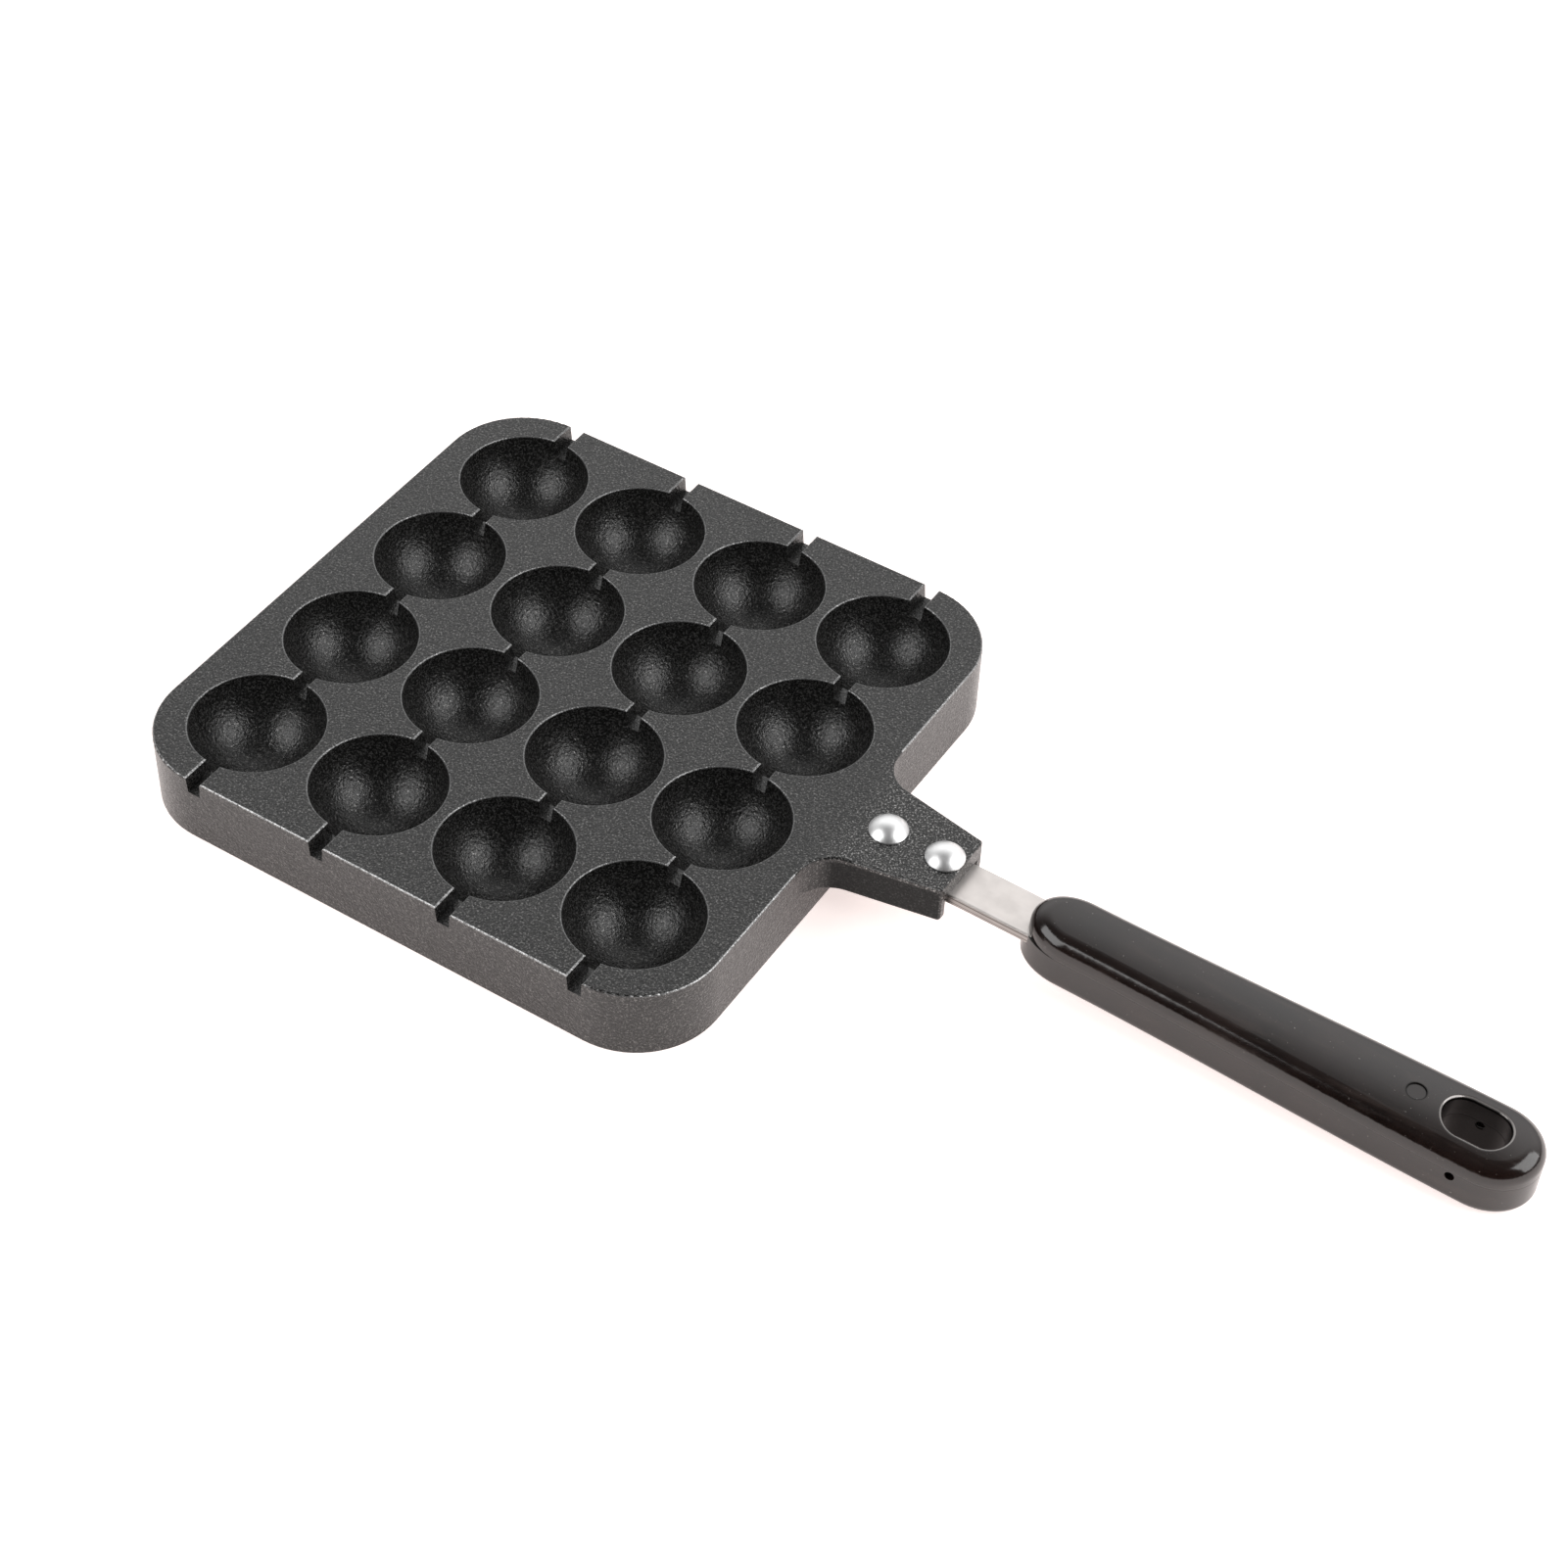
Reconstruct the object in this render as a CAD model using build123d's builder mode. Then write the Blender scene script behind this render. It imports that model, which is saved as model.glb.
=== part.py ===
from build123d import *
import math
import os

# A cast takoyaki grill plate: round cups joined by stick grooves, a cast tab,
# a steel strap riveted under the tab and a moulded grip on the strap.
# Millimetres. The origin is the middle of the resting plane under the cups,
# +X runs out along the handle, the grooves run along Y and +Z is up.

# Cups, on a square grid
cups_per_side = 4
cup_radius = 20.0
cup_depth = 20.0
cup_land = 4.0
cup_rim_round = 0.6
cup_wall = 3.0
foot_height = 0.7
foot_radius = 9.0

# Plate around the cups
edge_land = 9.0
corner_radius = 26.5
top_edge_round = 0.7
skirt_wall = 3.2
deck_thickness = 3.2
hollow_round = 2.0

# Stick grooves through every row of cups
groove_width = 5.0
groove_depth = 5.5
groove_taper = 0.4
groove_edge = 0.4
groove_wall = 3.0

# Cast tab that carries the handle
tab_reach = 37.0
tab_root_half = 18.2
tab_end_half = 11.5
tab_root_round = 11.0
tab_corner_round = 1.0
tab_heel_round = 1.8
tab_web = 5.5
tab_channel_depth = 7.9
tab_wall = 2.4
tab_root_wall = 3.0

# Steel strap
strap_width = 14.7
strap_thickness = 3.4
strap_edge_round = 0.5
strap_root_gap = 2.0
strap_bend_gap = 4.0
strap_bend_radius = 150.0
strap_tilt = 1.95
strap_tang = 122.0
lock_hole_radius = 3.0
lock_hole_first = 45.0
lock_hole_spacing = 50.0

# Rivets
rivet_end_gap = 5.8
rivet_spacing = 18.5
rivet_shank_radius = 3.0
rivet_hole_gap = 0.1
rivet_head_radius = 5.8
rivet_head_edge = 0.6
rivet_head_height = 3.6
rivet_tail_radius = 4.8
rivet_tail_height = 1.8

# Moulded grip, measured along the strap from its bend
grip_start = 17.5
grip_length = 155.1
grip_nose_half = 10.8
grip_end_half = 13.45
grip_nose_length = 15.4
grip_end_length = 14.9
grip_above = 9.1
grip_below = 9.1
grip_draft = 2.1
grip_crown_radius = 40.0
grip_top_round = 5.5
grip_bottom_round = 2.45
grip_nose_step = 1.55
grip_strap_gap = 0.1

# Hang hole, cross hole and round mark in the grip
hang_hole_length = 19.0
hang_hole_width = 13.2
hang_hole_end = 20.0
hang_hole_round = 1.0
cross_hole_radius = 1.4
mark_radius = 2.8
mark_depth = 0.5
mark_from_hang_hole = 17.6

# Places that follow from the sizes
cup_pitch = 2 * cup_radius + cup_land
plate_half = (cups_per_side - 1) * cup_pitch / 2 + cup_radius + edge_land
plate_height = cup_depth + cup_wall + foot_height
cup_sphere = (cup_radius**2 + cup_depth**2) / (2 * cup_depth)
cup_center = plate_height - cup_depth + cup_sphere
tab_depth = tab_web + tab_channel_depth
tab_end = plate_half + tab_reach
tab_slope = (tab_root_half - tab_end_half) / tab_reach
channel_start = plate_half + tab_root_wall
channel_inset = tab_wall * math.hypot(1, tab_slope)
rivet_outer_x = tab_end - rivet_end_gap
rivet_inner_x = rivet_outer_x - rivet_spacing
strap_top = plate_height - tab_web
strap_middle = strap_top - strap_thickness / 2
strap_start = channel_start + strap_root_gap
strap_bend_x = tab_end + strap_bend_gap
tilt = math.radians(strap_tilt)

# The strap's outer run and the grip lie on this plane: X along the handle,
# Z square to the strap, origin at the bend in the middle of the strap.
handle_plane = Plane(
    origin=(strap_bend_x, 0, strap_middle),
    x_dir=(math.cos(tilt), 0, -math.sin(tilt)),
    z_dir=(math.sin(tilt), 0, math.cos(tilt)),
)

os.makedirs("parts", exist_ok=True)


# Casting: plate, cups, grooves and tab in one piece
with BuildPart() as cup_shell:
    with BuildSketch(Plane.XZ):
        with BuildLine():
            outer_sphere = cup_sphere + cup_wall
            rim_reach = math.sqrt(outer_sphere**2 - (plate_height - cup_center) ** 2)
            Line((0, plate_height), (rim_reach, plate_height))
            CenterArc(
                (0, cup_center),
                outer_sphere,
                math.degrees(math.atan2(plate_height - cup_center, rim_reach)),
                -90 - math.degrees(math.atan2(plate_height - cup_center, rim_reach)),
            )
            Line((0, cup_center - outer_sphere), (0, plate_height))
        make_face()
    revolve(axis=Axis.Z)
    with BuildSketch():
        Circle(foot_radius)
    extrude(amount=foot_height + cup_wall / 2)

with BuildPart() as cup_void:
    with BuildSketch(Plane.XZ):
        with BuildLine():
            Line((0, plate_height + 1), (cup_radius, plate_height + 1))
            Line((cup_radius, plate_height + 1), (cup_radius, plate_height))
            CenterArc(
                (0, cup_center),
                cup_sphere,
                math.degrees(math.atan2(plate_height - cup_center, cup_radius)),
                -90 - math.degrees(math.atan2(plate_height - cup_center, cup_radius)),
            )
            Line((0, plate_height - cup_depth), (0, plate_height + 1))
        make_face()
    revolve(axis=Axis.Z)

with BuildPart() as grill_plate:
    with BuildSketch():
        RectangleRounded(2 * plate_half, 2 * plate_half, corner_radius)
    extrude(amount=plate_height)

    # The tab's outline sweeps out of the plate's wall in two hollow curves
    with BuildSketch(Plane.XY.offset(plate_height - tab_depth)) as tab_outline:
        RectangleRounded(2 * plate_half, 2 * plate_half, corner_radius)
        with BuildLine():
            Polyline(
                (plate_half - 5, -tab_root_half),
                (plate_half, -tab_root_half),
                (tab_end, -tab_end_half),
                (tab_end, tab_end_half),
                (plate_half, tab_root_half),
                (plate_half - 5, tab_root_half),
                close=True,
            )
        make_face()
        near_tab = tab_outline.vertices().filter_by(lambda v: abs(v.Y) < tab_root_half + 1)
        fillet(near_tab.filter_by(lambda v: abs(v.X - plate_half) < 0.1), tab_root_round)
        fillet(tab_outline.vertices().group_by(Axis.X)[-1], tab_corner_round)
    extrude(amount=tab_depth)
    fillet(
        grill_plate.edges().filter_by(Axis.Y).filter_by(
            lambda e: abs(e.center().X - tab_end) < 0.1 and e.center().Z < plate_height - 1
        ),
        tab_heel_round,
    )
    fillet(grill_plate.edges().group_by(Axis.Z)[-1], top_edge_round)

    # Hollow underside, with the cups and the groove ribs standing in it
    with BuildSketch():
        RectangleRounded(
            2 * (plate_half - skirt_wall),
            2 * (plate_half - skirt_wall),
            corner_radius - skirt_wall,
        )
    extrude(amount=plate_height - deck_thickness, mode=Mode.SUBTRACT)
    ceiling = grill_plate.faces().filter_by(Plane.XY).filter_by(
        lambda f: abs(f.center().Z - plate_height + deck_thickness) < 0.01
    )
    fillet(ceiling.edges(), hollow_round)
    with BuildSketch(Plane.XY.offset(plate_height - groove_depth - groove_wall)):
        with GridLocations(cup_pitch, 0, cups_per_side, 1):
            Rectangle(groove_width + 2 * groove_wall, 2 * plate_half - skirt_wall)
    extrude(amount=groove_depth + groove_wall - deck_thickness / 2)
    with GridLocations(cup_pitch, cup_pitch, cups_per_side, cups_per_side):
        add(cup_shell.part)

    # Cups and grooves from above
    with GridLocations(cup_pitch, cup_pitch, cups_per_side, cups_per_side):
        add(cup_void.part, mode=Mode.SUBTRACT)
    cup_rims = grill_plate.edges().filter_by(GeomType.CIRCLE).filter_by(
        lambda e: abs(e.radius - cup_radius) < 0.01 and abs(e.center().Z - plate_height) < 0.01
    )
    fillet(cup_rims, cup_rim_round)
    with BuildSketch(Plane.XZ):
        with GridLocations(cup_pitch, 0, cups_per_side, 1):
            Polygon(
                (-groove_width / 2 - groove_edge, plate_height + 1),
                (-groove_width / 2 - groove_edge, plate_height),
                (-groove_width / 2, plate_height - groove_edge),
                (-groove_width / 2 + groove_taper, plate_height - groove_depth),
                (groove_width / 2 - groove_taper, plate_height - groove_depth),
                (groove_width / 2, plate_height - groove_edge),
                (groove_width / 2 + groove_edge, plate_height),
                (groove_width / 2 + groove_edge, plate_height + 1),
                align=None,
            )
    extrude(amount=plate_half + 1, both=True, mode=Mode.SUBTRACT)

    # Channel under the tab's web for the strap, open at the tab's end
    with BuildSketch(Plane.XY.offset(plate_height - tab_depth)):
        with BuildLine():
            root_inner = tab_root_half - tab_slope * tab_root_wall - channel_inset
            end_inner = tab_end_half - tab_slope - channel_inset
            Polyline(
                (channel_start, -root_inner),
                (tab_end + 1, -end_inner),
                (tab_end + 1, end_inner),
                (channel_start, root_inner),
                close=True,
            )
        make_face()
    extrude(amount=tab_channel_depth, mode=Mode.SUBTRACT)
    with Locations((rivet_inner_x, 0, plate_height), (rivet_outer_x, 0, plate_height)):
        Hole(rivet_shank_radius + rivet_hole_gap, tab_depth)

grill_plate.part.label = "grill_plate"
export_step(grill_plate.part, "parts/grill_plate.step")


# Strap: level under the web, then bent down along the handle
with BuildPart() as handle_strap:
    with BuildLine():
        FilletPolyline(
            (strap_start, 0, strap_middle),
            (strap_bend_x, 0, strap_middle),
            handle_plane.from_local_coords((strap_tang, 0, 0)),
            radius=strap_bend_radius,
        )
    with BuildSketch(Plane(origin=(strap_start, 0, strap_middle), x_dir=(0, 1, 0), z_dir=(1, 0, 0))):
        RectangleRounded(strap_width, strap_thickness, strap_edge_round)
    sweep()
    with Locations((rivet_inner_x, 0, strap_top), (rivet_outer_x, 0, strap_top)):
        Hole(rivet_shank_radius + rivet_hole_gap, strap_thickness)
    with BuildSketch(handle_plane):
        with Locations((lock_hole_first, 0), (lock_hole_first + lock_hole_spacing, 0)):
            Circle(lock_hole_radius)
    extrude(amount=strap_thickness, both=True, mode=Mode.SUBTRACT)

handle_strap.part.label = "handle_strap"
export_step(handle_strap.part, "parts/handle_strap.step")


# Rivets: domed heads on the deck, tails formed under the strap
def rivet_section(x):
    """Half section of a rivet standing at x, drawn to the right of its axis."""
    with BuildSketch(Plane(origin=(x, 0, plate_height), x_dir=(1, 0, 0), z_dir=(0, -1, 0))) as section:
        with BuildLine():
            dome = TangentArc(
                (0, rivet_head_height), (rivet_head_radius, rivet_head_edge), tangent=(1, 0)
            )
            under_strap = -(tab_web + strap_thickness)
            tail_end = under_strap - rivet_tail_height
            Polyline(
                dome @ 1,
                (rivet_head_radius, 0),
                (rivet_shank_radius, 0),
                (rivet_shank_radius, under_strap),
                (rivet_tail_radius, under_strap),
                (rivet_tail_radius, under_strap - rivet_tail_height / 2),
                (rivet_tail_radius - rivet_tail_height / 2, tail_end),
                (0, tail_end),
                dome @ 0,
            )
        make_face()
    return section.sketch


with BuildPart() as rivet_inner:
    add(rivet_section(rivet_inner_x))
    revolve(axis=Axis((rivet_inner_x, 0, 0), (0, 0, 1)))

rivet_inner.part.label = "rivet_inner"
export_step(rivet_inner.part, "parts/rivet_inner.step")

with BuildPart() as rivet_outer:
    add(rivet_section(rivet_outer_x))
    revolve(axis=Axis((rivet_outer_x, 0, 0), (0, 0, 1)))

rivet_outer.part.label = "rivet_outer"
export_step(rivet_outer.part, "parts/rivet_outer.step")


# Grip: long round ends joined by gently swelling sides, under a crowned top
grip_end = grip_start + grip_length
nose_center = grip_start + grip_nose_length
end_center = grip_end - grip_end_length
hang_hole_center = grip_end - hang_hole_end
mark_center = hang_hole_center - mark_from_hang_hole
parting_height = strap_thickness / 2
grip_height = grip_above + grip_below
parting_plane = handle_plane.offset(parting_height)
handle_section = Plane(handle_plane.origin, x_dir=(0, 1, 0), z_dir=handle_plane.x_dir)


def grip_outline(nose_reach):
    """Half the grip's outline from nose to end, mirrored about its length."""
    with BuildLine() as outline:
        nose = EllipticalCenterArc(
            (nose_center, 0), nose_reach, grip_nose_half, 90, arc_size=90
        )
        end = EllipticalCenterArc(
            (end_center, 0), grip_end_length, grip_end_half, 0, arc_size=90
        )
        Spline(nose @ 0, end @ 1, tangents=[(1, 0), (1, 0)])
        mirror(about=Plane.XZ)
    return outline.line


with BuildPart() as handle_grip:
    # Below the strap's upper face, widening downwards by the moulding's draft
    with BuildSketch(parting_plane):
        with BuildLine():
            add(grip_outline(grip_nose_length))
        make_face()
    extrude(amount=-(grip_below + parting_height), taper=-grip_draft)
    underside = handle_grip.faces().filter_by(GeomType.PLANE).sort_by(Axis.Z)[0]
    fillet(underside.edges(), grip_bottom_round)

    # Above it the nose sits back by a step and the walls lean in
    with BuildSketch(parting_plane):
        with BuildLine():
            add(grip_outline(grip_nose_length - grip_nose_step))
        make_face()
    extrude(amount=grip_above - parting_height, taper=grip_draft)
    with BuildSketch(handle_section):
        with Locations((0, grip_above - grip_crown_radius)):
            Circle(grip_crown_radius)
    extrude(amount=grip_end + 5, mode=Mode.INTERSECT)
    crown = handle_grip.faces().filter_by(GeomType.CYLINDER).sort_by(SortBy.AREA)[-1]
    fillet(crown.edges(), grip_top_round)

    # Hang hole, with rounded rims above and below
    with BuildSketch(handle_plane.offset(-grip_below - 1)):
        with Locations((hang_hole_center, 0)):
            SlotOverall(hang_hole_length, hang_hole_width)
    extrude(amount=grip_height + 2, mode=Mode.SUBTRACT)
    hole_rims = handle_grip.edges().filter_by(
        lambda e: abs(handle_plane.to_local_coords(e.center()).X - hang_hole_center)
        < hang_hole_length / 2
        and abs(handle_plane.to_local_coords(e.center()).Y) < hang_hole_width / 2 + 0.1
        and abs(handle_plane.to_local_coords(e @ 0).Z - handle_plane.to_local_coords(e @ 1).Z)
        < grip_height / 2
    )
    fillet(hole_rims, hang_hole_round)

    # Cross hole through both sides of the hang hole
    with BuildSketch(Plane(handle_plane.origin, x_dir=handle_plane.x_dir, z_dir=(0, -1, 0))):
        with Locations((hang_hole_center, 0)):
            Circle(cross_hole_radius)
    extrude(amount=grip_end_half + 1, both=True, mode=Mode.SUBTRACT)

    # Shallow round mark on the crown
    with BuildSketch(handle_plane.offset(grip_above - mark_depth)):
        with Locations((mark_center, 0)):
            Circle(mark_radius)
    extrude(amount=mark_depth + 1, mode=Mode.SUBTRACT)

    # Pocket for the strap, bridged where the moulding fills its lock holes
    pocket_end = strap_tang + grip_strap_gap
    with BuildSketch(handle_section):
        RectangleRounded(
            strap_width + 2 * grip_strap_gap,
            strap_thickness + 2 * grip_strap_gap,
            strap_edge_round,
        )
    extrude(amount=pocket_end, mode=Mode.SUBTRACT)
    with BuildSketch(handle_plane.offset(-strap_thickness / 2 - 1)):
        with Locations((lock_hole_first, 0), (lock_hole_first + lock_hole_spacing, 0)):
            Circle(lock_hole_radius - grip_strap_gap)
    extrude(amount=strap_thickness + 2)

handle_grip.part.label = "handle_grip"
export_step(handle_grip.part, "parts/handle_grip.step")
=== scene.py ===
# %% [markdown]
# # Dressing a takoyaki grill plate
#
# The CAD model gives five solids: a cast plate with sixteen round cups, a
# steel strap, two rivets and a moulded grip. Their shapes and places are
# settled. What is left is what the eye reads as real: a speckled non-stick
# coating, rolled steel, bright rivets, a glossy moulding, and the white studio
# that they mirror. Each step below says what the real thing is, and why it is
# made this way.

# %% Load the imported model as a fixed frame
import math

import bpy
from mathutils import Matrix, Vector


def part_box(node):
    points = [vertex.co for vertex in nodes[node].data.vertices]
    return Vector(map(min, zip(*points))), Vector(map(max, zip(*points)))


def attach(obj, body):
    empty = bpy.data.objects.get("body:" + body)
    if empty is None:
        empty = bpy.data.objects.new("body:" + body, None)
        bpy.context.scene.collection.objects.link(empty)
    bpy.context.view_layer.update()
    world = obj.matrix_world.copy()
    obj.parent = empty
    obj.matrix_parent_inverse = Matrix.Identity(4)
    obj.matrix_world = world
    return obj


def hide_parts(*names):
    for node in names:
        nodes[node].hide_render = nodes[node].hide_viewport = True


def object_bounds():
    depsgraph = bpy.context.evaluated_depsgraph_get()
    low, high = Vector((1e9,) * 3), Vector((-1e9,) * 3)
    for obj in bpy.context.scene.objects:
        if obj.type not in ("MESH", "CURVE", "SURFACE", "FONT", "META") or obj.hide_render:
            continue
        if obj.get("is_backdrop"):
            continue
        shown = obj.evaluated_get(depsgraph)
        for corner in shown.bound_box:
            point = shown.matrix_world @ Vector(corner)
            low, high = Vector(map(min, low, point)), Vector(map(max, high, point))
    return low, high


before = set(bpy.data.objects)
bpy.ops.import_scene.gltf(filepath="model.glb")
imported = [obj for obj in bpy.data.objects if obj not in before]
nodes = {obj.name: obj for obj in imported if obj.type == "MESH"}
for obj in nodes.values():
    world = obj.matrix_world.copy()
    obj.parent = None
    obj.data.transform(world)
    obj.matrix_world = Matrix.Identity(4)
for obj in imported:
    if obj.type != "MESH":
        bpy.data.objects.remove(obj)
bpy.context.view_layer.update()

for name, node in sorted(nodes.items()):
    print(name, len(node.data.polygons), "faces,", [m.name for m in node.data.materials])

# %% [markdown]
# ## One frame for every measure
#
# The origin is the middle of the plane that the cups stand on, +X runs out
# along the handle, the stick grooves run along Y and Z is up. Blender works in
# metres, so one small constant turns the maker's millimetres into them. What
# the frame knows is read from the CAD nodes' boxes, rounded to a micrometre
# because meshes hold short numbers. The rest is inside a node, where a box
# can't show it.

# %% Sizes that the finishes need
MM = 0.001
MICROMETRE_PLACES = 6


def corners(name):
    """A CAD node's lowest and highest corner, to the micrometre."""
    return [tuple(round(v, MICROMETRE_PLACES) for v in corner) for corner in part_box(name)]


plate_low, plate_high = corners("grill_plate")
TAB_END, PLATE_HALF, PLATE_TOP = plate_high
PLATE_CORNER = 26.5 * MM
CUP_PITCH = 44.0 * MM
CUP_RADIUS = 20.0 * MM
GROOVE_HALF = 2.5 * MM
TAB_ROOT = 29.0 * MM
TAB_HALF = 18.2 * MM
TAB_SLOPE = 6.7 / 37.0
STRAP_BEND = Vector((136.0 * MM, 0.0, 16.5 * MM))
STRAP_TILT = math.radians(1.95)
STRAP_HALF = corners("handle_strap")[1][1]
HANG_HOLE_AT = 152.6 * MM
HANG_HOLE_STRAIGHT = 2.9 * MM
HANG_HOLE_HALF = 6.6 * MM
MARK_AT = 135.0 * MM
MARK_RADIUS = 2.8 * MM

# The handle's own two directions, tilted down from the strap's bend
handle_along = Vector((math.cos(STRAP_TILT), 0.0, -math.sin(STRAP_TILT)))
handle_up = Vector((math.sin(STRAP_TILT), 0.0, math.cos(STRAP_TILT)))
for name, low, high in zip("xyz", plate_low, plate_high):
    print("plate", name, round(low / MM, 2), round(high / MM, 2), "mm")
print("strap", round(2 * STRAP_HALF / MM, 2), "mm wide")

# %% [markdown]
# ## Writing shaders as sums
#
# A finish is arithmetic: speckle times strength plus a base. Drawn as nodes by
# hand it is hard to read, so a small class wraps a socket and lets Python's
# own operators add the Math nodes. Everything else goes through one method
# that takes a node's type, its settings and what feeds its sockets.


# %% A value that adds Math nodes when it is used
class Value:
    """One output of a node, on which arithmetic can be written."""

    def __init__(self, shader, socket):
        self.shader = shader
        self.socket = socket

    def math(self, operation, *others):
        return self.shader.node("ShaderNodeMath", {"operation": operation}, self, *others)

    def __add__(self, other):
        return self.math("ADD", other)

    def __sub__(self, other):
        return self.math("SUBTRACT", other)

    def __mul__(self, other):
        return self.math("MULTIPLY", other)

    def __truediv__(self, other):
        return self.math("DIVIDE", other)

    def __rsub__(self, other):
        return self.shader.node("ShaderNodeMath", {"operation": "SUBTRACT"}, other, self)

    def __neg__(self):
        return 0.0 - self

    def __abs__(self):
        return self.math("ABSOLUTE")

    __radd__ = __add__
    __rmul__ = __mul__

    def clamped(self):
        """The same value, held between 0 and 1."""
        return self.shader.node(
            "ShaderNodeMath", {"operation": "MULTIPLY", "use_clamp": True}, self, 1.0
        )

    def between(self, low, high):
        """0 below low, 1 above high, smooth between."""
        return self.shader.node(
            "ShaderNodeMapRange",
            {"interpolation_type": "SMOOTHSTEP"},
            Value=self,
            From_Min=low,
            From_Max=high,
        )


def distance(across, along):
    """How far two steps at right angles lead."""
    return (across * across + along * along).math("SQRT")


# %% A node tree that is written in Python
# A Mix node has sockets of the same name for numbers, vectors and colours, so
# the colour ones are found by their places
MIX_COLOUR_A, MIX_COLOUR_B, MIX_COLOUR_OUT = 6, 7, 2


class Shader:
    """A node tree, filled by one method for nodes and one for mixed colours."""

    def __init__(self, tree):
        self.tree = tree
        tree.nodes.clear()

    def node(self, kind, settings=None, *inputs, out=0, **named):
        """Add a node; inputs go to its sockets in order, named ones by name."""
        made = self.tree.nodes.new(kind)
        for key, setting in (settings or {}).items():
            setattr(made, key, setting)
        for socket, item in zip(made.inputs, inputs):
            self.feed(socket, item)
        for key, item in named.items():
            self.feed(made.inputs[key.replace("_", " ")], item)
        return Value(self, made.outputs[out])

    def feed(self, socket, item):
        """Link a value to a socket, or write a plain number or colour on it."""
        if isinstance(item, Value):
            self.tree.links.new(item.socket, socket)
        elif item is not None:
            socket.default_value = item

    def mix(self, fraction, first, second):
        """Mix two colours: first where fraction is 0, second where it is 1."""
        made = self.tree.nodes.new("ShaderNodeMix")
        made.data_type = "RGBA"
        self.feed(made.inputs["Factor"], fraction)
        self.feed(made.inputs[MIX_COLOUR_A], first)
        self.feed(made.inputs[MIX_COLOUR_B], second)
        return Value(self, made.outputs[MIX_COLOUR_OUT])


def grey(level, warmth=0.0):
    """A grey in linear light, a little red for a positive warmth."""
    return (level * (1 + warmth), level, level * (1 - warmth), 1.0)


# %% The parts that every finish shares
def new_finish(name):
    """A material with an empty tree; returns it with its shader and place."""
    material = bpy.data.materials.new(name)
    material.use_nodes = True
    shader = Shader(material.node_tree)
    place = shader.node("ShaderNodeTexCoord", out="Object")
    return material, shader, place


def split(shader, vector):
    """The three numbers of a vector."""
    made = shader.tree.nodes.new("ShaderNodeSeparateXYZ")
    shader.tree.links.new(vector.socket, made.inputs[0])
    return [Value(shader, socket) for socket in made.outputs]


def bumped(shader, *layers):
    """Normal from layers of (height in metres, strength), coarse to fine."""
    normal = None
    for height, strength in layers:
        normal = shader.node(
            "ShaderNodeBump", None, Height=height, Strength=strength, Distance=1.0, Normal=normal
        )
    return normal


def skin(shader, **sockets):
    """Principled surface to the material's output; numbers go on its own sockets."""
    made = shader.node("ShaderNodeBsdfPrincipled", None, **sockets)
    end = shader.tree.nodes.new("ShaderNodeOutputMaterial")
    shader.tree.links.new(made.socket, end.inputs["Surface"])
    print("a finish of", len(shader.tree.nodes), "nodes")


def noise(shader, vector, scale, detail=2.0, roughness=0.5):
    """Noise round 0.5, with scale cells to a metre."""
    return shader.node(
        "ShaderNodeTexNoise",
        None,
        Vector=vector,
        Scale=scale,
        Detail=detail,
        Roughness=roughness,
    )


def from_bend(x, z, direction):
    """Distance from the strap's bend along one of the handle's directions."""
    return (x - STRAP_BEND.x) * direction.x + (z - STRAP_BEND.z) * direction.z


def drawn_along(shader, place, along, across):
    """The place turned with the handle, so that noise runs out along it."""
    return shader.node(
        "ShaderNodeMapping",
        {"vector_type": "POINT"},
        Vector=place,
        Rotation=(0.0, STRAP_TILT, 0.0),
        Scale=(along, across, across),
    )


def dress(names, material, slot_name):
    """Give CAD nodes a finish, and print which of the record's slots it fills."""
    for name in names:
        for slot in nodes[name].material_slots:
            slot.material = material
        print(name, "wears", material.name, "for", slot_name)


# %% [markdown]
# ## The coating
#
# The casting is sprayed with a dark non-stick coating that carries pale
# mineral flecks about 0.4 mm across, so the flat top reads as speckled grey.
# The cups are as dark as the top, but only see the light that falls through
# their mouths. The spray leaves a soft orange-peel surface, which is what
# breaks the highlights in the cups into grains. It runs thin over every
# rounded edge of the top, where it soon rubs through. Below the top edge, on
# the walls and in the cups, the flecks are thinned, and the low sides of the
# tab are rough with hardly a fleck: both are painted shade.
#
# The orange peel, its grain, the flecks and a slow cloud are four noises. The
# edges need to know where they are, and as the outline, the cups and the
# grooves are all simple shapes, a few sums give the distance to each.
# Everything is read on Object coordinates, so that nothing slides.

# %% Where the cups and edges are, on Object coordinates
def from_middle(v):
    """Distance along one axis from the middle of the nearest cup."""
    first, last = -2.0, 1.0
    row = (v / CUP_PITCH).math("FLOOR").math("MAXIMUM", first).math("MINIMUM", last)
    return v - (row + 0.5) * CUP_PITCH


def from_rim(fx, fy):
    """Distance across the top from the nearest cup's rim, inside it or outside."""
    return abs(distance(fx, fy) - CUP_RADIUS)


def from_tab_side(x, y):
    """Distance across the top from the tab's slanted sides, a metre off the tab."""
    half = TAB_HALF - (x - PLATE_HALF) * TAB_SLOPE
    off_tab = 1.0 - x.between(PLATE_HALF + 9.0 * MM, PLATE_HALF + 11.0 * MM)
    return abs(abs(y) - half) + off_tab


def from_plate_edge(x, y):
    """Distance inwards from the plate's rounded outline, negative outside it."""
    straight = PLATE_HALF - PLATE_CORNER
    past_x = (abs(x) - straight).math("MAXIMUM", 0.0)
    past_y = (abs(y) - straight).math("MAXIMUM", 0.0)
    return PLATE_CORNER - distance(past_x, past_y)


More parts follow.
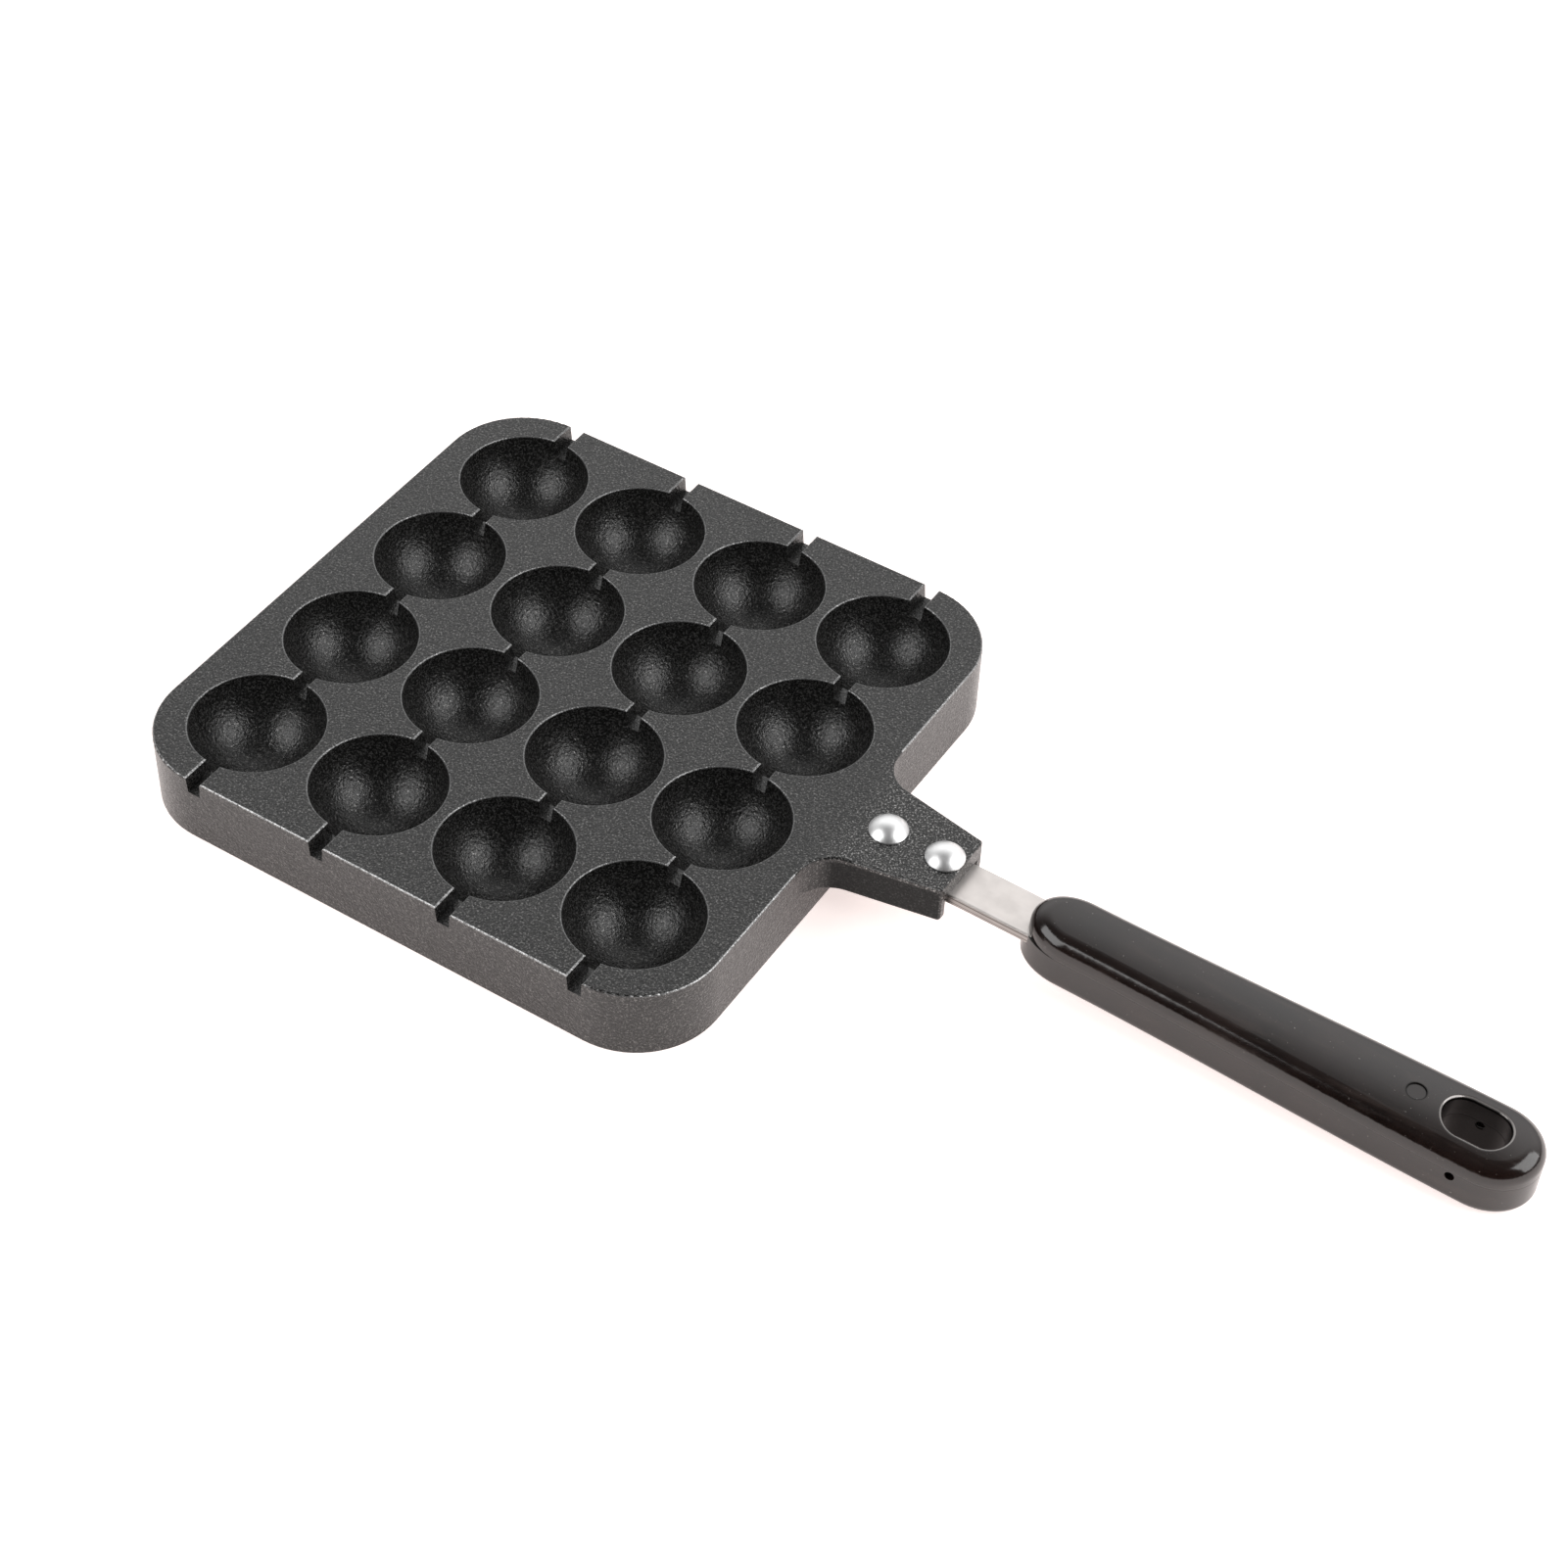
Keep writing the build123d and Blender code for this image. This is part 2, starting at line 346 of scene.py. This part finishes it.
# %% Grain and flecks of the coating
coating, shader, place = new_finish("speckled_coating")
x, y, z = split(shader, place)
grain = noise(shader, place, 1150.0, detail=2.0, roughness=0.6)
flakes = noise(shader, place, 1650.0, detail=2.0, roughness=0.7)
cloud = noise(shader, place, 90.0, detail=2.0)
peel = noise(shader, place, 520.0)
speckle = grain.between(0.36, 0.66)

# The low sides of the tab are made rough, and hardly a fleck on them darkens
# them: painted shade for the shadowed floor that they mirror
under_top = 1.0 - z.between(PLATE_TOP - 1.9 * MM, PLATE_TOP - 0.9 * MM)
past_wall = x.between(PLATE_HALF + 1.0 * MM, PLATE_HALF + 6.0 * MM)
before_end = 1.0 - x.between(TAB_END - 0.8 * MM, TAB_END - 0.2 * MM)
shaded_tab_sides = past_wall * before_end * under_top

# Walls and cups get up to a fifth fewer flecks than the top: painted shade that darkens them
shade_below_top = (PLATE_TOP - z).between(1.0 * MM, 3.0 * MM)
fleck = flakes.between(0.50, 0.72) * (1.0 - shaded_tab_sides * 0.85) * (1.0 - shade_below_top * 0.22)

# %% Edges of the top that have rubbed bright
ON_HANDLE_SIDE = 60.0 * MM
EDGE_BAND = (0.44 * MM, 0.62 * MM)
RIM_BAND = (0.38 * MM, 0.54 * MM)
fx, fy = from_middle(x), from_middle(y)
groove_gap = abs(abs(fx) - GROOVE_HALF)
inner_gap = from_rim(fx, fy).math("MINIMUM", groove_gap)
inner_gap = inner_gap.math("MINIMUM", from_tab_side(x, y))
on_tab = x.math("GREATER_THAN", ON_HANDLE_SIDE) * abs(y).math("LESS_THAN", TAB_ROOT)
edge_gap = abs(from_plate_edge(x, y)) + on_tab
below = (PLATE_TOP - z).math("MAXIMUM", 0.0)
edge_worn = 1.0 - (edge_gap + below).between(*EDGE_BAND)
rim_worn = 1.0 - (inner_gap + below).between(*RIM_BAND)
worn = (edge_worn + rim_worn * 0.55).clamped() * flakes.between(0.25, 0.50)

# %% Speckled non-stick coating
BINDER_DARK, BINDER_LIGHT = grey(0.0030, 0.03), grey(0.0070, 0.03)
BINDER_CLOUD = grey(0.0075, 0.05)
FLECK_ON_PLATE, FLECK_ON_TAB = grey(0.185, 0.02), grey(0.34, 0.02)
RUBBED_METAL = grey(0.42)
tone = shader.mix(speckle, BINDER_DARK, BINDER_LIGHT)
tone = shader.mix((cloud.between(0.3, 0.7) * 0.3).clamped(), tone, BINDER_CLOUD)
towards_tab = x.between(PLATE_HALF - 3.0 * MM, PLATE_HALF + 9.0 * MM)
fleck_tone = shader.mix(towards_tab, FLECK_ON_PLATE, FLECK_ON_TAB)
tone = shader.mix(fleck, tone, fleck_tone)
tone = shader.mix((worn * 0.7).clamped(), tone, RUBBED_METAL)
skin(
    shader,
    Base_Color=tone,
    IOR=1.46,
    Roughness=0.25 + speckle * 0.05 + shaded_tab_sides * 0.5,
    Metallic=(fleck + worn * 0.7).clamped(),
    Normal=bumped(shader, (peel * (0.10 * MM), 1.0), (grain * (0.21 * MM), 1.0)),
)
dress(["grill_plate"], coating, "coated_casting")

# %% [markdown]
# ## The strap
#
# A flat bar of plain steel, cut from rolled strip. Rolling draws its grain out
# along the bar, so the noise is squeezed along the handle's own direction: a
# Mapping node turns Object coordinates by the strap's tilt and scales them. The
# cut flanks are darker, partly as sheared steel is and partly as painted shade,
# and carry two darker lines, one near the top and one lower down, which are
# painted shade for the dark reflections of the rounded edges.

# %% Rolled steel
ROLLED_DARK, ROLLED_LIGHT = (0.585, 0.548, 0.527, 1.0), (0.665, 0.624, 0.60, 1.0)
# Painted shade: the cut flanks are darkened, partly as sheared steel is, and two darker lines
# stand in for the rounded edges' reflections
SHADED_CUT_FLANK = (0.10, 0.09, 0.085, 1.0)
UPPER_SHADE_LINE_HEIGHT = 0.95 * MM
LOWER_SHADE_LINE_HEIGHT = -0.55 * MM
steel, shader, place = new_finish("rolled_steel")
x, y, z = split(shader, place)
streak = noise(shader, drawn_along(shader, place, 60.0, 1400.0), 1.0, detail=3.0, roughness=0.6)
mottle = noise(shader, place, 160.0, detail=3.0)
height = from_bend(x, z, handle_up)
flank = abs(y).between(STRAP_HALF - 0.25 * MM, STRAP_HALF - 0.1 * MM)
# Painted shade: a dark line near the top of the flank and one lower down
upper_shade_line = 1.0 - abs(height - UPPER_SHADE_LINE_HEIGHT).between(0.08 * MM, 0.3 * MM)
lower_shade_line = 1.0 - abs(height - LOWER_SHADE_LINE_HEIGHT).between(0.05 * MM, 0.25 * MM)
shade = (flank * (upper_shade_line * 0.8 + lower_shade_line * 0.45 + 0.52)).clamped()
tone = shader.mix(mottle.between(0.3, 0.7), ROLLED_DARK, ROLLED_LIGHT)
tone = shader.mix(shade, tone, SHADED_CUT_FLANK)
skin(
    shader,
    Base_Color=tone,
    Metallic=1.0,
    Roughness=0.28 + streak * 0.16,
    Normal=bumped(shader, (streak * (0.008 * MM), 1.0), (mottle * (0.02 * MM), 0.6)),
)
dress(["handle_strap"], steel, "strap_steel")

# %% [markdown]
# ## The rivets
#
# Two solid aluminium rivets hold the strap. Each is turned round an axis and
# both are the same, which is what Geometry Nodes are good at: one tree draws
# half a section from named sizes, sweeps it round a tiny circle as a lathe
# would, welds it, and stands it on a row of points. Against the CAD solid it
# gains a broken edge under the head and a finer dome to mirror the lights.

# %% Bright aluminium, hammered once and tumbled
bright, shader, place = new_finish("bright_aluminium")
fine = noise(shader, place, 1500.0, detail=3.0)
soft = noise(shader, place, 260.0, detail=2.0)
tone = shader.mix(soft.between(0.3, 0.7), grey(0.80), grey(0.88))
skin(
    shader,
    Base_Color=tone,
    Metallic=1.0,
    Roughness=0.34 + fine * 0.10,
    Normal=bumped(shader, (soft * (0.010 * MM), 1.0), (fine * (0.002 * MM), 1.0)),
)


# %% A tree that lathes rivets and stands them in a row
DOME_STEPS, LATHE_STEPS = 40, 96
AXIS_RADIUS, WELD = 1e-7, 2e-6
SHARP_FROM = math.radians(28)


def rivet_row_tree(sizes, material):
    """Geometry Nodes tree; sizes names its inputs, in metres apart from Count."""
    tree = bpy.data.node_groups.new("rivet_row", "GeometryNodeTree")
    tree.interface.new_socket(name="Rivets", in_out="OUTPUT", socket_type="NodeSocketGeometry")
    for name in sizes:
        kind = "NodeSocketInt" if name == "Count" else "NodeSocketFloat"
        tree.interface.new_socket(name=name, in_out="INPUT", socket_type=kind)
    work = Shader(tree)
    entry = tree.nodes.new("NodeGroupInput")
    size = {name: Value(work, entry.outputs[name]) for name in sizes}

    def point(r=0.0, down=0.0, z=0.0):
        """A vector: the section is drawn with r out from the axis and down along it."""
        return work.node("ShaderNodeCombineXYZ", None, X=r, Y=down, Z=z)

    # The dome: an arc that ends on the head's radius, edge height above the deck
    radius, edge = size["Head Radius"], size["Head Edge"]
    sagitta = size["Head Height"] - edge
    dome_radius = (radius * radius + sagitta * sagitta) / (sagitta * 2.0)
    dome = work.node(
        "GeometryNodeCurveArc",
        {"mode": "RADIUS"},
        Resolution=DOME_STEPS,
        Radius=dome_radius,
        Start_Angle=-math.pi / 2,
        Sweep_Angle=(radius / dome_radius).math("ARCSINE"),
    )
    dome = work.node(
        "GeometryNodeTransform",
        None,
        Geometry=dome,
        Translation=point(down=dome_radius - size["Head Height"]),
    )

    # The rest of the half section: edge, shank, and the tail formed below
    shank, tail, grip = size["Shank Radius"], size["Tail Radius"], size["Grip Length"]
    tail_height, chamfer = size["Tail Height"], size["Edge Break"]
    half_section = [
        (radius, -edge),
        (radius, -chamfer),
        (radius - chamfer, 0.0),
        (shank, 0.0),
        (shank, grip),
        (tail, grip),
        (tail, grip + tail_height * 0.5),
        (tail - tail_height * 0.5, grip + tail_height),
        (0.0, grip + tail_height),
    ]
    section = tree.nodes.new("GeometryNodeJoinGeometry")
    tree.links.new(dome.socket, section.inputs[0])
    for first, second in zip(half_section, half_section[1:]):
        side = work.node(
            "GeometryNodeCurvePrimitiveLine", None, Start=point(*first), End=point(*second)
        )
        tree.links.new(side.socket, section.inputs[0])

    # Lathe round a circle too small to see, weld, and sharpen only the real edges
    axis = work.node(
        "GeometryNodeCurvePrimitiveCircle",
        {"mode": "RADIUS"},
        Resolution=LATHE_STEPS,
        Radius=AXIS_RADIUS,
    )
    turned = work.node(
        "GeometryNodeCurveToMesh", None, Curve=axis, Profile_Curve=Value(work, section.outputs[0])
    )
    turned = work.node("GeometryNodeMergeByDistance", None, Geometry=turned, Distance=WELD)
    angle = work.node("GeometryNodeInputMeshEdgeAngle")
    turned = work.node(
        "GeometryNodeSetShadeSmooth",
        {"domain": "EDGE"},
        Geometry=turned,
        Selection=angle.math("GREATER_THAN", SHARP_FROM),
        Shade_Smooth=False,
    )

    # A row of points along X on the deck
    row = work.node(
        "GeometryNodeMeshLine",
        None,
        Count=size["Count"],
        Start_Location=point(size["First Place"], z=size["Deck Height"]),
        Offset=point(size["Spacing"]),
    )
    placed = work.node("GeometryNodeInstanceOnPoints", None, Points=row, Instance=turned)
    real = work.node("GeometryNodeRealizeInstances", None, placed)
    finished = work.node("GeometryNodeSetMaterial", {}, Geometry=real, Material=material)
    end = tree.nodes.new("NodeGroupOutput")
    tree.links.new(finished.socket, end.inputs["Rivets"])
    return tree


# %% Run the tree once and keep the plain mesh
def baked_piece(name, tree, values):
    """Evaluate a Geometry Nodes tree and return its result as a plain object."""
    holder = bpy.data.objects.new(name + "_maker", bpy.data.meshes.new(name + "_maker"))
    bpy.context.scene.collection.objects.link(holder)
    modifier = holder.modifiers.new("maker", "NODES")
    modifier.node_group = tree
    for item in tree.interface.items_tree:
        if item.in_out == "INPUT":
            modifier[item.identifier] = values[item.name]
    seen = holder.evaluated_get(bpy.context.evaluated_depsgraph_get())
    mesh = bpy.data.meshes.new_from_object(seen)
    bpy.data.objects.remove(holder)
    piece = bpy.data.objects.new(name, mesh)
    bpy.context.scene.collection.objects.link(piece)
    return piece


TAIL_HEIGHT = 1.8 * MM
(inner_left, _, tail_end), (inner_right, head_radius, head_top) = corners("rivet_inner")
outer_left = corners("rivet_outer")[0][0]
rivet_sizes = {
    "Head Radius": head_radius,
    "Head Height": head_top - PLATE_TOP,
    "Head Edge": 0.6 * MM,
    "Edge Break": 0.15 * MM,
    "Shank Radius": 3.0 * MM,
    "Grip Length": PLATE_TOP - tail_end - TAIL_HEIGHT,
    "Tail Radius": 4.8 * MM,
    "Tail Height": TAIL_HEIGHT,
    "First Place": (inner_left + inner_right) / 2,
    "Spacing": outer_left - inner_left,
    "Deck Height": PLATE_TOP,
    "Count": 2,
}
rivets = baked_piece("rivet_row", rivet_row_tree(rivet_sizes, bright), rivet_sizes)
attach(rivets, "root")
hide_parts("rivet_inner", "rivet_outer")
print("rivets", len(rivets.data.polygons), "faces")
for axis_name, places in zip("xyz", zip(*(v.co for v in rivets.data.vertices))):
    print("rivets", axis_name, round(min(places) / MM, 2), round(max(places) / MM, 2), "mm")
for name in ("rivet_inner", "rivet_outer"):
    print(name, [[round(v / MM, 2) for v in corner] for corner in corners(name)])

# %% [markdown]
# ## The grip
#
# Handles that meet a stove are pressed from a black thermoset. Its skin is
# glossy, a little brown, and never quite flat: it sinks slightly as it cures,
# so long reflections waver. The mould halves part on the line where the
# rounded top meets the walls, and leave a fine witness there. Handling leaves
# faint scuffs along it. The rim of the hang hole is paler than the rest, a
# painted highlight on its rounded edge, and the inside of the hole is painted
# dark, as painted shade.
#
# The scuffs are a noise drawn out along the handle, as on the strap. The rim
# and the round mark are distances again, measured along the handle.

# %% Wear and dust on the grip
PARTING_HEIGHT = 1.7 * MM
moulding, shader, place = new_finish("glossy_thermoset")
x, y, z = split(shader, place)
height = from_bend(x, z, handle_up)
along = from_bend(x, z, handle_along)
witness = 1.0 - abs(height - PARTING_HEIGHT).between(0.05 * MM, 0.22 * MM)
flow = noise(shader, place, 55.0, detail=3.0, roughness=0.6)
sink = noise(shader, place, 70.0)
dust = noise(shader, place, 1500.0, detail=2.0)
speck = dust.between(0.73, 0.77)
scuff = noise(shader, drawn_along(shader, place, 38.0, 240.0), 1.0, detail=4.0, roughness=0.65)
scuff = scuff.between(0.50, 0.72)

# %% Hang hole and round mark
# The hole is a slot with round ends, dull inside, painted dark as painted shade
# for the shadowed floor seen through it, with its rim painted pale as a painted
# highlight; the round mark ahead of it is a sunk ring, with its edge given the
# same painted shade
past_straight = (abs(along - HANG_HOLE_AT) - HANG_HOLE_STRAIGHT).math("MAXIMUM", 0.0)
from_hole = distance(past_straight, y) - HANG_HOLE_HALF
hole_wall = 1.0 - from_hole.between(0.15 * MM, 0.45 * MM)
hole_rim = from_hole.between(0.15 * MM, 0.40 * MM)
hole_rim = hole_rim * (1.0 - from_hole.between(0.65 * MM, 0.95 * MM))
from_mark = abs(distance(along - MARK_AT, y) - MARK_RADIUS)
on_crown = height.between(5.0 * MM, 6.0 * MM)
mark_ring = (1.0 - from_mark.between(0.12 * MM, 0.42 * MM)) * on_crown

# %% Glossy thermoset
RESIN_DARK, RESIN_LIGHT = (0.0055, 0.0026, 0.0020, 1.0), (0.0120, 0.0062, 0.0050, 1.0)
SCUFFED = (0.038, 0.026, 0.022, 1.0)
DUST = (0.30, 0.28, 0.26, 1.0)
PARTING_LINE = (0.006, 0.0055, 0.005, 1.0)
# Painted highlight for the hang hole's rounded rim; half of it is metal, which also mirrors the
# lamps
PAINTED_RIM_HIGHLIGHT = (0.30, 0.28, 0.27, 1.0)
# Painted shade for the inside of the hang hole and the sunk edge of the round mark
PAINTED_RECESS_SHADE = (0.0060, 0.0050, 0.0045, 1.0)
tone = shader.mix(flow.between(0.3, 0.7), RESIN_DARK, RESIN_LIGHT)
for cover, colour in (
    (scuff * 0.4, SCUFFED),
    (speck * 0.6, DUST),
    (witness * 0.6, PARTING_LINE),
    # Painted highlight on the hang hole's rim
    (hole_rim * 0.8, PAINTED_RIM_HIGHLIGHT),
    # Painted shade in the hang hole and on the round mark's edge
    (hole_wall + mark_ring * 0.9, PAINTED_RECESS_SHADE),
):
    tone = shader.mix(cover.clamped(), tone, colour)
dull = scuff * 0.10 + (witness + hole_wall + mark_ring) * 0.2
skin(
    shader,
    Base_Color=tone,
    # Near-black metal makes the hole's inside and the mark's edge a dark mirror: painted shade
    Metallic=(hole_rim * 0.5 + hole_wall * 0.8 + mark_ring * 0.5).clamped(),
    IOR=1.57,
    Roughness=0.11 + flow * 0.07 + dull,
    Normal=bumped(
        shader,
        (sink * (0.10 * MM), 0.5),
        (witness * (-0.04 * MM), 1.0),
        (scuff * (0.006 * MM), 1.0),
        (dust * (0.002 * MM), 1.0),
    ),
)
dress(["handle_grip"], moulding, "grip_moulding")

# %% [markdown]
# ## The studio
#
# A product picture on white: a large pale floor, one soft box on each side of
# the camera, a bright wall behind the object and a dark room behind the
# camera. The floor glows a little and a shade warm, as a lit paper does, which
# keeps it white and lends the dark walls their brown. The rivets' domes and the
# two highlights in each cup show where the boxes stand.

# %% Pale floor
FLOOR_REACH = 6.0
FLOOR_GAP = 0.2 * MM
FLOOR_GLOW, FLOOR_GLOW_COLOUR = 0.75, (1.0, 0.86, 0.83, 1.0)
signs = ((-1, -1), (1, -1), (1, 1), (-1, 1))
floor_mesh = bpy.data.meshes.new("studio_floor")
floor_mesh.from_pydata(
    [(sx * FLOOR_REACH, sy * FLOOR_REACH, 0) for sx, sy in signs], [], [(0, 1, 2, 3)]
)
floor = bpy.data.objects.new("studio_floor", floor_mesh)
bpy.context.scene.collection.objects.link(floor)
floor.location.z = -FLOOR_GAP
paper, shader, place = new_finish("pale_paper")
paper_grain = noise(shader, place, 40.0)
skin(
    shader,
    Base_Color=shader.mix(paper_grain.between(0.3, 0.7), grey(0.88, 0.02), grey(0.90, 0.02)),
    Roughness=0.9,
    Metallic=0.0,
    Emission_Color=FLOOR_GLOW_COLOUR,
    Emission_Strength=FLOOR_GLOW,
)
floor_mesh.materials.append(paper)
floor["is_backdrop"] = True

# %% Light of the room
BACK_AZIMUTH = math.radians(112.0)
WHITE = (1.0, 1.0, 1.0, 1.0)
ROOM_LEVEL, ROOM_TILT = 0.15, 0.14
WALL_LEVEL, WALL_FOOT = 1.22, 0.42
world = bpy.data.worlds.new("studio_room")
bpy.context.scene.world = world
world.use_nodes = True
room = Shader(world.node_tree)
direction = room.node("ShaderNodeTexCoord", out="Generated")
dx, dy, dz = split(room, direction)
towards_back = dx * math.cos(BACK_AZIMUTH) + dy * math.sin(BACK_AZIMUTH)
high = WALL_FOOT + dz.between(0.05, 0.60) * (1.0 - WALL_FOOT)
wall = towards_back.between(0.08, 0.72) * high
level = ROOM_LEVEL + towards_back * ROOM_TILT + wall * WALL_LEVEL
seen = room.node("ShaderNodeLightPath", out="Is Camera Ray")
lit = room.node("ShaderNodeBackground", None, Color=WHITE, Strength=level)
shown = room.node("ShaderNodeBackground", None, Color=WHITE, Strength=1.0)
either = room.node("ShaderNodeMixShader", None, seen, lit, shown)
world_out = world.node_tree.nodes.new("ShaderNodeOutputWorld")
world.node_tree.links.new(either.socket, world_out.inputs["Surface"])
print("bright wall at azimuth", round(math.degrees(BACK_AZIMUTH)), "degrees")


# %% Two soft boxes
LIT_POINT = Vector((0.08, 0.0, 0.01))


def soft_box(name, azimuth, elevation, stand_off, side, radiance):
    """Square area light that faces the object's middle; angles in degrees."""
    a, e = math.radians(azimuth), math.radians(elevation)
    towards = Vector((math.cos(a) * math.cos(e), math.sin(a) * math.cos(e), math.sin(e)))
    light = bpy.data.lights.new(name, "AREA")
    light.shape = "SQUARE"
    light.size = side
    light.energy = radiance * math.pi * side * side
    holder = bpy.data.objects.new(name, light)
    bpy.context.scene.collection.objects.link(holder)
    holder.location = LIT_POINT + towards * stand_off
    holder.rotation_euler = towards.to_track_quat("Z", "Y").to_euler()
    holder.visible_camera = False
    print(name, "at", [round(v, 2) for v in holder.location], "of", round(light.energy, 1), "W")


soft_box("soft_box_left", -129.0, 36.0, stand_off=1.6, side=1.15, radiance=3.6)
soft_box("soft_box_right", 15.0, 34.0, stand_off=1.6, side=1.35, radiance=3.8)

# %% [markdown]
# ## The camera
#
# Every cup rim is a circle of a known grid, so the photograph's camera was
# found by fitting all sixteen of them. It stands in front and to the right,
# looks down at 46 degrees and leans by under 3 degrees, with a lens of 72 mm on
# a 36 mm frame. Three angles say all that, and a few cross products turn them
# into the camera's own axes.

# %% Camera at the photograph's viewing angle
CAMERA_STAND = Vector((0.39072, -0.54080, 0.64635 + PLATE_TOP))
LOOKS_TOWARDS = math.radians(120.4537)
LOOKS_DOWN = math.radians(45.9217)
LEANS = math.radians(2.7223)
lens = bpy.data.cameras.new("portrait_camera")
lens.sensor_fit = "HORIZONTAL"
lens.sensor_width = 36.0
lens.lens = 72.254
lens.clip_start = 0.01
lens.clip_end = 50.0
camera = bpy.data.objects.new("portrait_camera", lens)
bpy.context.scene.collection.objects.link(camera)
level_ahead = Vector((math.cos(LOOKS_TOWARDS), math.sin(LOOKS_TOWARDS), 0.0))
ahead = level_ahead * math.cos(LOOKS_DOWN) - Vector((0.0, 0.0, math.sin(LOOKS_DOWN)))
level_right = level_ahead.cross((0.0, 0.0, 1.0))
level_up = level_right.cross(ahead)
right = level_right * math.cos(LEANS) + level_up * math.sin(LEANS)
up = level_up * math.cos(LEANS) - level_right * math.sin(LEANS)
turn = Matrix((right, up, -ahead)).transposed().to_4x4()
camera.matrix_world = Matrix.Translation(CAMERA_STAND) @ turn
bpy.context.scene.camera = camera
bpy.context.scene.view_settings.view_transform = "Standard"
print("camera at", [round(v, 4) for v in CAMERA_STAND], "m, lens", round(lens.lens, 1), "mm")

# %% [markdown]
# ## Measuring the object again
#
# The finishes must not change the object's size, so its box is measured once
# more and kept beside the CAD model's.

# %% Keep the boxes for comparison
scene_box = [list(corner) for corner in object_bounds()]
for name, low, high in zip("xyz", *scene_box):
    print(name, round(low / MM, 2), round(high / MM, 2), "mm")
